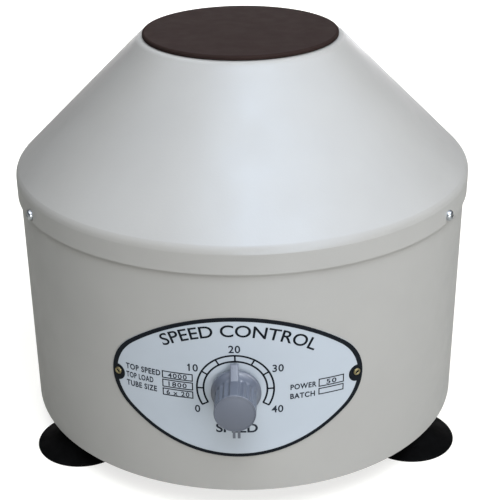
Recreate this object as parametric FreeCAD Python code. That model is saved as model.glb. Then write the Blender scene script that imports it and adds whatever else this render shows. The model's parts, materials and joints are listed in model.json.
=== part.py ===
import FreeCAD, Part
import math
import os

# Bench laboratory centrifuge: a sheet-steel drum on three suction feet, a
# screwed-on cone cover with a lift-off lid, and a fixed-angle rotor driven by
# a brushed motor.
# Millimetres.  The origin is the centre of the footprint on the bench, +Z is
# up and the control panel faces -Y.  An azimuth is counted from the panel
# towards +X, so 90 is the right-hand side and 180 is the back.

# ---- driving dimensions ------------------------------------------------
DRUM_R = 130.0
SHEET = 1.2
DRUM_LOW = 15.4
DRUM_TOP = 157.0

COVER_R = 131.7
COVER_SHEET = 0.9
COVER_LOW = 147.0
FOLD_Z = 160.4
FOLD_RADIUS = 6.0
CONE_TOP_R = 57.9
CONE_TOP_Z = 233.1
OPENING_R = 50.5
OPENING_LIP = 7.0
COVER_SCREW_Z = 151.0
COVER_SCREW_AZ = (-59.2, 59.2, 180.0)
COVER_SHANK_R = 1.9

LID_R = 55.4
LID_LOW = 233.4
LID_TOP = 235.7
LID_PLUG_R = 49.3
LID_PLUG_DEPTH = 8.0

FOOT_R = 27.4
FOOT_PITCH_R = 113.8
FOOT_NECK_R = 8.0
FOOT_SOCKET_Z = 9.6
BASE_CLOCK = 2.2
FOOT_AZ = [BASE_CLOCK + az for az in (-59.0, 59.0, 180.0)]
BASE_LOW = DRUM_LOW + SHEET
BASE_TOP = BASE_LOW + 1.5
RIM_SCREW_R = 125.3
RIM_SCREW_AZ = [BASE_CLOCK + az for az in (30.0, 90.0, 150.0, 210.0, 270.0, 330.0)]
VENT_IN_R = 20.0
VENT_OUT_R = 46.0
VENT_HALF = 2.0

PLATE_THICK = 0.5
PLATE_FACE = DRUM_R + PLATE_THICK
PLATE_HOLE_R = 1.5
PLATE_SCREW_AZ = 28.9
PLATE_SCREW_Z = 81.6
PIN_HEAD_R = 2.0
PIN_HEAD = 0.9
PIN_SLOT = 0.65
PIN_SLOT_HALF = 0.42
PIN_TURN = -45.0

DIAL_Z = 80.2
KNOB_BACK = 131.9
KNOB_FRONT = 153.4
KNOB_SKIRT_R = 13.1
KNOB_SKIRT_HIGH = 6.2
KNOB_BARREL_R = 10.75
KNOB_FLUTES = 20
COLLET_R = 5.5
CAP_R = 9.9
CAP_RECESS = 1.5
CAP_CROWN = 1.0
POINTER_R = 16.4
POINTER_WIDE = 4.2
POT_BUSH_R = 4.7
POT_SHAFT_R = 3.0

REAR_Z = 45.0
FUSE_AZ = 152.0
FUSE_BODY_R = 5.9
GLAND_THREAD_R = 8.0
GLAND_END = 152.0
SEAL_R = 5.3
CORD_BORE_R = 3.6

FLOOR_LOW = 112.0
FLOOR_R = 126.5
FLOOR_SCREW_R = 118.0
BRACKET_IN_R = 108.0
BRACKET_SHEET = 1.5

M3_SHANK_R = 1.5
M3_HEAD_R = 2.8
M3_HOLE_R = 1.7
M3_NUT = 5.5
M3_NUT_HIGH = 2.4
M4_SHANK_R = 2.0
M4_HOLE_R = 2.3
M4_NUT = 7.0
M5_SHANK_R = 2.5
M5_HOLE_R = 2.7
M5_NUT = 8.0
M5_NUT_HIGH = 4.0
THREAD_GAP = 0.05

SHAFT_R = 4.0
SHAFT_LOW = 26.0
SHAFT_TOP = 206.0
BEARING_R = 11.0
BEARING_DEEP = 7.0
BEARING_RUN = 0.03
PRESS_GAP = 0.02
FAN_R = 33.0
CAN_R = 42.0
CAN_WALL = 1.8
MOTOR_PLATE_LOW = 33.0
CAN_LOW = 36.0
CAN_TOP = 98.0
LOWER_BEARING_Z = 28.0
UPPER_BEARING_Z = 99.0
STACK_LOW = 52.0
STACK_TOP = 82.0
ARMATURE_R = 23.5
COMMUTATOR_Z = 38.0
COMMUTATOR_R = 11.0
BRUSH_Z = 42.0
MOTOR_BOLT_R = 45.7
DAMPER_PITCH_R = 62.0
DAMPER_AZ = (0.0, 120.0, 240.0)

TUBE_TILT = 40.0
SEATS = 6
MOUTH_R = 36.0
MOUTH_Z = 200.0
SLEEVE_BORE = 10.8
SLEEVE_R = 11.6
SLEEVE_DEPTH = 88.5
SLEEVE_FLANGE_R = 13.2
SLEEVE_FLANGE = 1.2
HEAD_THICK = 20.0
HEAD_HALF = 17.5
HUB_R = 12.0
HUB_LOW = 150.0
HUB_TOP = 196.0

UP = FreeCAD.Vector(0, 0, 1)
ORIGIN = FreeCAD.Vector(0, 0, 0)


# ---- helpers -----------------------------------------------------------
def vec(x, y, z):
    return FreeCAD.Vector(x, y, z)


def corner_arc(before, corner, after, radius):
    """Tangent arc that rounds one corner of an outline: start, middle, end."""
    back = (before - corner).normalize()
    ahead = (after - corner).normalize()
    half = back.getAngle(ahead) / 2
    reach = radius / math.tan(half)
    inward = (back + ahead).normalize()
    middle = corner + inward * (radius / math.sin(half) - radius)
    return corner + back * reach, middle, corner + ahead * reach


def outline(points, closed=True):
    """Wire in the XZ plane through (x, z) points; a third value rounds that corner."""
    corners = [vec(point[0], 0, point[1]) for point in points]
    radii = [point[2] if len(point) > 2 else 0 for point in points]
    pieces = []
    for index, corner in enumerate(corners):
        if radii[index]:
            before = corners[index - 1]
            after = corners[(index + 1) % len(corners)]
            pieces.append(corner_arc(before, corner, after, radii[index]))
        else:
            pieces.append((corner,))
    edges = []
    for index, piece in enumerate(pieces):
        if len(piece) == 3:
            edges.append(Part.Arc(*piece).toShape())
        if closed or index + 1 < len(pieces):
            target = pieces[(index + 1) % len(pieces)][0]
            if piece[-1].distanceToPoint(target) > 1e-6:
                edges.append(Part.makeLine(piece[-1], target))
    return Part.Wire(edges)


def lathe(points, angle=360):
    """Solid of revolution about Z from a closed (radius, height) outline."""
    return Part.Face(outline(points)).revolve(ORIGIN, UP, angle)


def pressed_sheet(points, thickness):
    """Turned sheet-metal shell: an open outline of its skin, thickened inwards."""
    strip = outline(points, closed=False).makeOffset2D(thickness, fill=True, openResult=True)
    return strip.revolve(ORIGIN, UP, 360)


def disc(radius, low, high, x=0, y=0):
    return Part.makeCylinder(radius, high - low, vec(x, y, low))


def ring(outer, inner, low, high):
    return disc(outer, low, high).cut(disc(inner, low - 1, high + 1))


def block(x_from, x_to, y_from, y_to, z_from, z_to):
    corner = vec(x_from, y_from, z_from)
    return Part.makeBox(x_to - x_from, y_to - y_from, z_to - z_from, corner)


def hex_prism(across_flats, low, high, bore=0):
    corner_r = across_flats / 2 / math.cos(math.radians(30))
    corners = [vec(corner_r * math.cos(math.radians(60 * k)),
                   corner_r * math.sin(math.radians(60 * k)), low) for k in range(7)]
    prism = Part.Face(Part.makePolygon(corners)).extrude(vec(0, 0, high - low))
    if bore:
        prism = prism.cut(disc(bore, low - 1, high + 1))
    return prism


def turned(shape, azimuth):
    """Copy of a shape turned about the drum's axis."""
    copy = shape.copy()
    copy.rotate(ORIGIN, UP, azimuth)
    return copy


def around(shape, azimuths):
    return [turned(shape, azimuth) for azimuth in azimuths]


def every(count, start=0.0):
    return [start + 360.0 / count * k for k in range(count)]


def placed(shape, position, direction=UP):
    """Copy of a shape with its +Z laid along a direction and its origin moved."""
    copy = shape.copy()
    move = FreeCAD.Placement(position, FreeCAD.Rotation(UP, direction))
    copy.Placement = move.multiply(copy.Placement)
    return copy


def facing_out(shape, height, azimuth=0.0):
    """Lay a shape's +Z radially outwards through the drum wall at one height."""
    return turned(placed(shape, vec(0, 0, height), vec(0, -1, 0)), azimuth)


def wall_hole(radius, height, azimuth=0.0):
    """Punch that goes through the drum wall and everything laid on it."""
    return facing_out(disc(radius, DRUM_R - 10, DRUM_R + 10), height, azimuth)


def pan_screw(shank_r, head_r, head_high, length):
    """Cross-recessed screw along Z: domed head above z=0, shank below."""
    head = lathe([(0, 0), (head_r, 0), (head_r, head_high, head_high * 0.8), (0, head_high)])
    body = head.fuse(disc(shank_r, -length, 0))
    slot_low = head_high * 0.45
    half_slot = head_r * 0.12
    reach = head_r * 0.52
    slots = [block(-reach, reach, -half_slot, half_slot, slot_low, head_high + 1),
             block(-half_slot, half_slot, -reach, reach, slot_low, head_high + 1)]
    return body.cut(slots)


def m3_nut(low, position):
    return placed(hex_prism(M3_NUT, low, low + M3_NUT_HIGH, bore=M3_SHANK_R + THREAD_GAP), position)


def m5_nut(low, position):
    return placed(hex_prism(M5_NUT, low, low + M5_NUT_HIGH, bore=M5_SHANK_R + THREAD_GAP), position)


def save(node, shapes):
    """Write one node; identical pieces share a node as separate solids."""
    group = shapes if isinstance(shapes, list) else [shapes]
    for shape in group:
        if not shape.isValid() or len(shape.Solids) != 1:
            raise ValueError("%s: a piece is not one valid solid" % node)
    solids = [shape.Solids[0] for shape in group]
    result = solids[0] if len(solids) == 1 else Part.makeCompound(solids)
    result.exportStep("parts/%s.step" % node)


# ---- sheet-metal case --------------------------------------------------
def drum_shell():
    """Rolled wall with an in-turned foot lip and every hole punched in it."""
    inner = DRUM_R - SHEET
    wall = ring(DRUM_R, inner, DRUM_LOW, DRUM_TOP)
    lip = ring(DRUM_R - 0.5, 122.6, DRUM_LOW, BASE_LOW)
    shell = wall.fuse(lip)
    punch = []
    for azimuth in COVER_SCREW_AZ:
        punch.append(wall_hole(M4_HOLE_R, COVER_SCREW_Z, azimuth))
    for azimuth in (-PLATE_SCREW_AZ, PLATE_SCREW_AZ):
        punch.append(wall_hole(PLATE_HOLE_R, PLATE_SCREW_Z, azimuth))
    punch.append(wall_hole(POT_BUSH_R + 0.3, DIAL_Z))
    punch.append(wall_hole(GLAND_THREAD_R + 0.2, REAR_Z, 180))
    punch.append(wall_hole(FUSE_BODY_R + 0.3, REAR_Z, FUSE_AZ))
    for azimuth in RIM_SCREW_AZ:
        punch.append(turned(disc(M3_HOLE_R, DRUM_LOW - 1, BASE_LOW + 1, 0, -RIM_SCREW_R), azimuth))
    return shell.cut(punch).removeSplitter()


def cone_cover():
    """Skirt, rounded fold, cone and turned-in mouth pressed from one sheet."""
    skin = [(COVER_R, COVER_LOW),
            (COVER_R, FOLD_Z, FOLD_RADIUS),
            (CONE_TOP_R, CONE_TOP_Z, 4.0),
            (OPENING_R, CONE_TOP_Z, 2.2),
            (OPENING_R, CONE_TOP_Z - OPENING_LIP)]
    cover = pressed_sheet(skin, COVER_SHEET)
    return cover.cut([wall_hole(M4_HOLE_R, COVER_SCREW_Z, az) for az in COVER_SCREW_AZ])


def cover_screws():
    screw = placed(pan_screw(COVER_SHANK_R, 3.0, 2.2, 11.0), vec(0, 0, COVER_R + 0.05))
    return [facing_out(screw, COVER_SCREW_Z, az) for az in COVER_SCREW_AZ]


def cover_nuts():
    high = DRUM_R - SHEET - 0.3
    nut = hex_prism(M4_NUT, high - 4.0, high, bore=COVER_SHANK_R + THREAD_GAP)
    return [facing_out(nut, COVER_SCREW_Z, az) for az in COVER_SCREW_AZ]


def base_plate():
    """Bottom plate with cooling slots, seated on the drum's foot lip."""
    plate = disc(DRUM_R - SHEET - 0.3, BASE_LOW, BASE_TOP)
    low, high = BASE_LOW - 1, BASE_TOP + 1
    holes = around(disc(M5_HOLE_R, low, high, 0, -FOOT_PITCH_R), FOOT_AZ)
    holes += around(disc(M5_HOLE_R, low, high, 0, -DAMPER_PITCH_R), DAMPER_AZ)
    holes += around(disc(M3_HOLE_R, low, high, 0, -RIM_SCREW_R), RIM_SCREW_AZ)
    ends = [disc(VENT_HALF, low, high, 0, -radius) for radius in (VENT_IN_R, VENT_OUT_R)]
    slot = block(-VENT_HALF, VENT_HALF, -VENT_OUT_R, -VENT_IN_R, low, high).fuse(ends)
    holes += around(slot, every(12, 15))
    return plate.cut(holes)


def rim_screws():
    screw = pan_screw(M3_SHANK_R, M3_HEAD_R, 1.7, 8.0)
    return around(placed(screw, vec(0, -RIM_SCREW_R, DRUM_LOW), vec(0, 0, -1)), RIM_SCREW_AZ)


def rim_nuts():
    nut = m3_nut(BASE_TOP, vec(0, -RIM_SCREW_R, 0))
    nut.rotate(vec(0, -RIM_SCREW_R, 0), UP, 30)
    return around(nut, RIM_SCREW_AZ)


# ---- suction feet ------------------------------------------------------
def suction_foot(azimuth):
    """Rubber cup: thin sealing lip, dished underside and a neck up to the base."""
    cup = lathe([(0, 4.4),
                 (12.0, 3.6, 20.0),
                 (FOOT_R - 2.2, 0),
                 (FOOT_R - 0.2, 0),
                 (FOOT_R, 0.5, 0.2),
                 (FOOT_R - 0.3, 1.0, 0.3),
                 (17.5, 4.0, 10.0),
                 (10.5, 8.2, 5.0),
                 (FOOT_NECK_R, 12.0, 4.0),
                 (FOOT_NECK_R, BASE_LOW),
                 (0, BASE_LOW)])
    cup = cup.cut(disc(M5_SHANK_R + 0.1, FOOT_SOCKET_Z, BASE_LOW + 1))
    cup.translate(vec(0, -FOOT_PITCH_R, 0))
    return turned(cup, azimuth)


def foot_studs():
    stud = disc(M5_SHANK_R, FOOT_SOCKET_Z + 0.2, BASE_TOP + 7.5, 0, -FOOT_PITCH_R)
    return around(stud, FOOT_AZ)


def foot_nuts():
    return around(m5_nut(BASE_TOP, vec(0, -FOOT_PITCH_R, 0)), FOOT_AZ)


# ---- control panel -----------------------------------------------------
def panel_outline():
    """Eye-shaped front outline: long arcs above and below, round ends."""
    end_x, end_z, end_r = 38.8, 81.2, 27.45
    top = vec(0, 0, 32.6)
    bottom = vec(0, 0, 120.8)
    right = vec(end_x, 0, end_z)
    left = vec(-end_x, 0, end_z)

    def touch(centre, end):
        away = end - centre
        return end + away.normalize() * end_r

    top_r = (right - top).Length + end_r
    bottom_r = (right - bottom).Length + end_r
    upper = Part.Arc(touch(top, left), top + vec(0, 0, top_r), touch(top, right))
    lower = Part.Arc(touch(bottom, right), bottom - vec(0, 0, bottom_r), touch(bottom, left))
    right_end = Part.Arc(touch(top, right), right + vec(end_r, 0, 0), touch(bottom, right))
    left_end = Part.Arc(touch(bottom, left), left - vec(end_r, 0, 0), touch(top, left))
    return Part.Wire([arc.toShape() for arc in (upper, right_end, lower, left_end)])


def label_plate():
    """Thin panel rolled to the drum, cut to its outline as seen from the front."""
    cutter = Part.Face(panel_outline()).extrude(vec(0, -DRUM_R - 20, 0))
    skin = ring(PLATE_FACE, DRUM_R, DRUM_LOW, DRUM_TOP)
    punch = [wall_hole(PLATE_HOLE_R, PLATE_SCREW_Z, az) for az in (-PLATE_SCREW_AZ, PLATE_SCREW_AZ)]
    punch.append(wall_hole(POT_BUSH_R + 0.3, DIAL_Z))
    return skin.common(cutter).cut(punch)


def plate_screws():
    """Small brass pins with a short closed slot in a low round head."""
    head = lathe([(0, 0), (PIN_HEAD_R, 0), (PIN_HEAD_R, PIN_HEAD, 0.35), (0, PIN_HEAD)])
    pin = head.fuse(disc(PLATE_HOLE_R - 0.1, -7.0, 0))
    slot = block(-PIN_SLOT, PIN_SLOT, -PIN_SLOT_HALF, PIN_SLOT_HALF, 0.25, PIN_HEAD + 1)
    ends = [disc(PIN_SLOT_HALF, 0.25, PIN_HEAD + 1, x, 0) for x in (-PIN_SLOT, PIN_SLOT)]
    screw = placed(pin.cut([slot] + ends), vec(0, 0, PLATE_FACE + 0.05))
    screw.rotate(ORIGIN, UP, PIN_TURN)
    return [facing_out(screw, PLATE_SCREW_Z, az) for az in (-PLATE_SCREW_AZ, PLATE_SCREW_AZ)]


def pot_body():
    """Speed potentiometer: round case behind the wall, threaded bush through it."""
    case = disc(12.0, 113.0, 127.8).fuse(disc(POT_BUSH_R, 127.8, 136.3))
    return facing_out(case.cut(disc(POT_SHAFT_R + 0.05, 117.5, 140)), DIAL_Z)


def pot_washer():
    return facing_out(ring(7.2, POT_BUSH_R + 0.1, PLATE_FACE + 0.05, PLATE_FACE + 0.55), DIAL_Z)


def pot_nut():
    low = PLATE_FACE + 0.6
    return facing_out(hex_prism(13.0, low, low + 2.5, bore=POT_BUSH_R + THREAD_GAP), DIAL_Z)


def pot_shaft():
    return facing_out(disc(POT_SHAFT_R, 118.0, 149.0), DIAL_Z)


def knob():
    """Skirted knob with a fluted barrel and a pointer that reaches the scale."""
    waist = KNOB_BACK + KNOB_SKIRT_HIGH
    body = lathe([(0, KNOB_BACK),
                  (KNOB_SKIRT_R, KNOB_BACK),
                  (KNOB_SKIRT_R, KNOB_BACK + 2.4, 0.8),
                  (KNOB_BARREL_R + 0.2, waist, 1.0),
                  (KNOB_BARREL_R, KNOB_FRONT, 0.7),
                  (0, KNOB_FRONT)])
    flute = disc(0.9, waist + 0.4, KNOB_FRONT - 1.4, KNOB_BARREL_R + 0.5, 0)
    flutes = []
    for angle in every(KNOB_FLUTES):
        flutes.append(turned(flute, angle))
    root = KNOB_BARREL_R - 1.5
    pointer_side = [(root, KNOB_BACK),
                    (POINTER_R, KNOB_BACK),
                    (POINTER_R, KNOB_BACK + 0.8),
                    (KNOB_BARREL_R + 0.7, waist + 2.7, 0.5),
                    (root, waist + 2.7)]
    pointer = Part.Face(outline(pointer_side)).extrude(vec(0, POINTER_WIDE, 0))
    pointer.translate(vec(0, -POINTER_WIDE / 2, 0))
    pointer.rotate(ORIGIN, UP, 90)
    body = body.cut(flutes).fuse(pointer)
    hollows = [disc(9.2, KNOB_BACK - 1, KNOB_BACK + 5.2),
               disc(COLLET_R + 0.05, KNOB_BACK, KNOB_FRONT - CAP_RECESS),
               disc(CAP_R + 0.05, KNOB_FRONT - CAP_RECESS, KNOB_FRONT + 1)]
    return facing_out(body.cut(hollows), DIAL_Z)


def knob_collet():
    """Split brass collet that grips the shaft inside the knob."""
    collet = ring(COLLET_R, POT_SHAFT_R + 0.03, KNOB_BACK + 6.0, KNOB_FRONT - 2.6)
    slit = block(2.0, 6.0, -0.4, 0.4, KNOB_BACK + 5, KNOB_FRONT - 6.0)
    return facing_out(collet.cut(slit), DIAL_Z)


def knob_cap():
    """Slightly domed face set into the barrel's front rim."""
    low = KNOB_FRONT - CAP_RECESS + 0.05
    face = KNOB_FRONT - 0.15
    top = face + CAP_CROWN
    cap = lathe([(0, low), (CAP_R, low), (CAP_R, face, 0.3), (CAP_R / 2, top, 40.0), (0, top)])
    return facing_out(cap, DIAL_Z)


# ---- rear fittings -----------------------------------------------------
def cable_gland():
    """Hexagon body outside the wall, threaded both ways."""
    body = hex_prism(22.0, DRUM_R + 0.2, DRUM_R + 4.6).fuse(disc(GLAND_THREAD_R, 117.0, 141.0))
    return facing_out(body.cut(disc(SEAL_R + 0.1, 110, 145)), REAR_Z, 180)


def gland_nut():
    return facing_out(hex_prism(21.0, 123.4, 127.9, bore=GLAND_THREAD_R + 0.1), REAR_Z, 180)


def gland_cap():
    """Domed clamping cap over the gland body, with flats for a spanner."""
    dome = lathe([(0, 135.0), (10.6, 135.0), (10.6, 144.5), (7.6, GLAND_END, 2.0), (0, GLAND_END)])
    grip = hex_prism(19.6, 134.9, GLAND_END + 1)
    hollow = disc(GLAND_THREAD_R + 0.1, 134.0, 146.0)
    mouth = disc(SEAL_R + 0.3, 140.0, GLAND_END + 1)
    return facing_out(dome.common(grip).cut([hollow, mouth]), REAR_Z, 180)


def gland_seal():
    return facing_out(ring(SEAL_R, CORD_BORE_R, 131.0, GLAND_END - 1.4), REAR_Z, 180)


def fuse_holder():
    body = disc(FUSE_BODY_R, 98.0, 130.6).fuse(ring(8.2, FUSE_BODY_R - 0.1, 130.3, 132.4))
    return facing_out(body.cut(disc(4.2, 100.0, 140)).cut(disc(5.2, 126.0, 140)), REAR_Z, FUSE_AZ)


def fuse_nut():
    return facing_out(hex_prism(15.0, 124.0, 128.0, bore=FUSE_BODY_R + THREAD_GAP), REAR_Z, FUSE_AZ)


def fuse_cap():
    """Bayonet cap with a screwdriver slot; its plug carries the fuse."""
    cap = lathe([(0, 126.5), (4.8, 126.5), (4.8, 132.8), (6.6, 132.8), (6.6, 138.0, 1.0), (0, 138.0)])
    slot = block(-5.0, 5.0, -0.7, 0.7, 136.6, 140)
    socket = disc(2.75, 120, 130.2)
    return facing_out(cap.cut([slot, socket]), REAR_Z, FUSE_AZ)


def fuse():
    return facing_out(disc(2.6, 110.0, 130.0), REAR_Z, FUSE_AZ)


# ---- electronics on the base -------------------------------------------
BOARD_X = -88.0
BOARD_Y = 22.0
BOARD_WIDE = 44.0
BOARD_LONG = 64.0
BOARD_LOW = BASE_TOP + 8.0
BOARD_TOP = BOARD_LOW + 1.6
LEAD_R = 0.8
TERMINAL_AZ = 146.0


def board_corners():
    reach_x = BOARD_WIDE / 2 - 4.0
    reach_y = BOARD_LONG / 2 - 4.0
    return [(BOARD_X + sx * reach_x, BOARD_Y + sy * reach_y) for sx in (-1, 1) for sy in (-1, 1)]


def control_board():
    board = block(BOARD_X - BOARD_WIDE / 2, BOARD_X + BOARD_WIDE / 2,
                  BOARD_Y - BOARD_LONG / 2, BOARD_Y + BOARD_LONG / 2, BOARD_LOW, BOARD_TOP)
    return board.cut([disc(M3_HOLE_R - 0.1, 0, 60, x, y) for x, y in board_corners()])


def board_standoffs():
    post = hex_prism(M3_NUT, BASE_TOP, BOARD_LOW, bore=M3_SHANK_R + THREAD_GAP)
    return [placed(post, vec(x, y, 0)) for x, y in board_corners()]


def board_screws():
    screw = pan_screw(M3_SHANK_R, M3_HEAD_R, 1.6, 6.0)
    return [placed(screw, vec(x, y, BOARD_TOP)) for x, y in board_corners()]


def heatsink():
    """Finned block that cools the triac on the speed board."""
    base = block(-104, -100.5, 0, 40, BOARD_TOP + 0.2, BOARD_TOP + 30)
    fins = [block(-100.5, -90, 4.4 * k, 4.4 * k + 1.4, BOARD_TOP + 2, BOARD_TOP + 30) for k in range(9)]
    return base.fuse(fins)


def capacitor():
    return block(-86, -72, 34, 44, BOARD_TOP + 0.2, BOARD_TOP + 16)


def choke():
    return Part.makeTorus(7.0, 3.4, vec(-79, 14, BOARD_TOP + 3.7), UP)


def terminal_block():
    """Three-way mains terminal strip with its wire wells and screw wells."""
    strip = block(-16, 16, -8, 8, BASE_TOP, BASE_TOP + 14)
    wells = []
    for x in (-10, 0, 10):
        wells.append(placed(disc(2.2, -12, 12), vec(x, 0, BASE_TOP + 5), vec(0, 1, 0)))
        wells.append(disc(2.4, BASE_TOP + 9, BASE_TOP + 20, x, 0))
    return turned(placed(strip.cut(wells), vec(0, -88, 0)), TERMINAL_AZ)


def lead(points):
    """Insulated wire along a smooth curve through its points."""
    route = Part.BSplineCurve()
    route.interpolate([vec(*point) for point in points])
    start = vec(*points[0])
    section = Part.Wire(Part.makeCircle(LEAD_R, start, route.tangent(route.FirstParameter)[0]))
    return Part.Wire(route.toShape()).makePipeShell([section], True, False)


def polar(azimuth, radius, height):
    angle = math.radians(azimuth)
    return radius * math.sin(angle), -radius * math.cos(angle), height


def internal_leads():
    """Wires from the terminals and the board to the fuse, motor and speed control."""
    well_z = BASE_TOP + 5
    pad_z = BOARD_TOP + LEAD_R + 0.2
    leads = []
    for well_az, slack in ((TERMINAL_AZ + 6.8, 0), (TERMINAL_AZ, 4)):
        leads.append(lead([polar(well_az, 84.6, well_z), polar(well_az, 76, well_z + 1),
                           (18, 84 + slack, 36 + slack), (-30, 88 + slack, 40 + slack),
                           (-72 - slack, 66, 38), (-80 - slack, 50, pad_z)]))
    leads.append(lead([polar(FUSE_AZ, 97.2, REAR_Z), polar(149, 88, 47), polar(143, 73, 42),
                       polar(TERMINAL_AZ - 6.8, 68, 29), polar(TERMINAL_AZ - 6.8, 76, well_z),
                       polar(TERMINAL_AZ - 6.8, 84, well_z)]))
    for k in (-1, 0, 1):
        leads.append(lead([(4 * k, -112.2, DIAL_Z - 6), (3 * k - 8, -106, 60 + 5 * k),
                           (-46, -92, 46 + 4 * k), (-86 + 3 * k, -48, 38 + 2 * k),
                           (-92 + 4 * k, -14, 36), (-92 + 4 * k, -6, pad_z)]))
    for side in (-1, 1):
        leads.append(lead([(-68, 26 + 3 * side, pad_z), (-60, 10 + 3 * side, 40), (-50, 2.4 * side, 45),
                           (-41, 2.4 * side, 45), (-36, 8 * side, 43.5), (-30, 21 * side, 43),
                           (-18, 32 * side, 43), (-6.2, 35 * side, 43)]))
    return leads


# ---- chamber floor -----------------------------------------------------
def chamber_floor():
    """Partition between the rotor chamber and the motor bay."""
    floor = lathe([(9.0, FLOOR_LOW), (FLOOR_R, FLOOR_LOW), (FLOOR_R, FLOOR_LOW + SHEET),
                   (10.2, FLOOR_LOW + SHEET), (10.2, FLOOR_LOW + 5), (9.0, FLOOR_LOW + 5)])
    hole = disc(M3_HOLE_R, FLOOR_LOW - 1, FLOOR_LOW + SHEET + 1, 0, -FLOOR_SCREW_R)
    return floor.cut(around(hole, every(3, 30)))


def floor_brackets():
    """Angle brackets welded inside the drum, under the floor."""
    wall = DRUM_R - SHEET
    foot = FLOOR_LOW - 16
    under = FLOOR_LOW - BRACKET_SHEET
    bracket = lathe([(wall, foot), (wall, FLOOR_LOW), (BRACKET_IN_R, FLOOR_LOW),
                     (BRACKET_IN_R, under), (wall - BRACKET_SHEET, under, 2.0),
                     (wall - BRACKET_SHEET, foot)], 11)
    bracket = turned(bracket, -95.5)
    bracket = bracket.cut(disc(M3_HOLE_R, under - 1, FLOOR_LOW + 1, 0, -FLOOR_SCREW_R))
    return around(bracket, every(3, 30))


def floor_screws():
    screw = pan_screw(M3_SHANK_R, M3_HEAD_R, 1.6, 9.0)
    return around(placed(screw, vec(0, -FLOOR_SCREW_R, FLOOR_LOW + SHEET)), every(3, 30))


def floor_nuts():
    low = FLOOR_LOW - BRACKET_SHEET - M3_NUT_HIGH
    return around(m3_nut(low, vec(0, -FLOOR_SCREW_R, 0)), every(3, 30))


# ---- motor, fixed side -------------------------------------------------
def motor_plate():
    """Three-armed plate that hangs the motor on its rubber dampers."""
    arm = block(-9, 9, -DAMPER_PITCH_R, 0, MOTOR_PLATE_LOW, CAN_LOW)
    tip = disc(9, MOTOR_PLATE_LOW, CAN_LOW, 0, -DAMPER_PITCH_R)
    plate = disc(50, MOTOR_PLATE_LOW, CAN_LOW)
    plate = plate.fuse(around(arm, DAMPER_AZ) + around(tip, DAMPER_AZ)).removeSplitter()
    holes = [disc(14.3, 20, 50)]
    holes += around(disc(M5_HOLE_R, 20, 50, 0, -DAMPER_PITCH_R), DAMPER_AZ)
    holes += around(disc(M4_SHANK_R + 0.1, 20, 50, 0, -MOTOR_BOLT_R), every(3, 60))
    return plate.cut(holes)


def motor_dampers():
    damper = lathe([(2.6, BASE_TOP), (9.0, BASE_TOP, 1.0), (7.6, (BASE_TOP + MOTOR_PLATE_LOW) / 2, 12.0),
                    (9.0, MOTOR_PLATE_LOW, 1.0), (2.6, MOTOR_PLATE_LOW)])
    damper.translate(vec(0, -DAMPER_PITCH_R, 0))
    return around(damper, DAMPER_AZ)


def damper_bolts():
    head = placed(hex_prism(M5_NUT, BASE_LOW - 2.6, BASE_LOW), vec(0, -DAMPER_PITCH_R, 0))
    bolt = head.fuse(disc(M5_SHANK_R, BASE_LOW, CAN_LOW + 7, 0, -DAMPER_PITCH_R))
    return around(bolt, DAMPER_AZ)


def damper_nuts():
    return around(m5_nut(CAN_LOW, vec(0, -DAMPER_PITCH_R, 0)), DAMPER_AZ)


def motor_housing():
    can = ring(CAN_R, CAN_R - CAN_WALL, CAN_LOW, CAN_TOP)
    slot = block(-5, 5, -CAN_R - 2, -CAN_R + 6, CAN_LOW + 5, CAN_LOW + 13)
    return can.cut(around(slot, every(6, 30)))


def motor_end_lower():
    """Bearing cup screwed under the motor plate."""
    low = LOWER_BEARING_Z - 1.5
    rim = LOWER_BEARING_Z + BEARING_DEEP + 0.5
    seat_r = BEARING_R + 0.05
    flange_high = MOTOR_PLATE_LOW - 0.05
    flange_low = MOTOR_PLATE_LOW - 1.5
    return lathe([(7.0, low), (14.0, low, 1.0), (14.0, flange_low), (22.0, flange_low),
                  (22.0, flange_high), (14.0, flange_high), (14.0, rim), (seat_r, rim),
                  (seat_r, LOWER_BEARING_Z), (7.0, LOWER_BEARING_Z)])


def motor_end_upper():
    """Top end bell with its bearing seat and cooling slots."""
    top = UPPER_BEARING_Z + BEARING_DEEP
    bell = lathe([(BEARING_R + 0.05, CAN_TOP - 2.0), (14.0, CAN_TOP - 2.0), (14.0, CAN_TOP), (50.0, CAN_TOP),
                  (50.0, CAN_TOP + 2.2, 0.8), (16.0, CAN_TOP + 2.2, 2.0), (14.5, top + 1.5, 1.0),
                  (7.0, top + 1.5), (7.0, top + 0.05), (BEARING_R + 0.05, top + 0.05)])
    slot = block(-3, 3, -37, -20, CAN_TOP - 4, CAN_TOP + 4)
    bolt_hole = disc(M4_SHANK_R + 0.1, 90, 110, 0, -MOTOR_BOLT_R)
    return bell.cut(around(slot, every(8, 22.5)) + around(bolt_hole, every(3, 60)))


def bearing(low):
    """Shielded ball bearing, drawn as one ring with recessed faces."""
    high = low + BEARING_DEEP
    bore = SHAFT_R + BEARING_RUN
    return lathe([(bore, low), (6.2, low), (6.4, low + 0.5), (9.2, low + 0.5), (9.4, low),
                  (BEARING_R, low, 0.4), (BEARING_R, high, 0.4), (9.4, high), (9.2, high - 0.5),
                  (6.4, high - 0.5), (6.2, high), (bore, high)])


def motor_bolts():
    bolt = disc(M4_SHANK_R, MOTOR_PLATE_LOW, CAN_TOP + 7, 0, -MOTOR_BOLT_R)
    head = placed(hex_prism(M4_NUT, MOTOR_PLATE_LOW - 2.8, MOTOR_PLATE_LOW), vec(0, -MOTOR_BOLT_R, 0))
    return around(bolt.fuse(head), every(3, 60))


def motor_nuts():
    low = CAN_TOP + 2.2
    nut = placed(hex_prism(M4_NUT, low, low + 3.2, bore=M4_SHANK_R + THREAD_GAP), vec(0, -MOTOR_BOLT_R, 0))
    return around(nut, every(3, 60))


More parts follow.
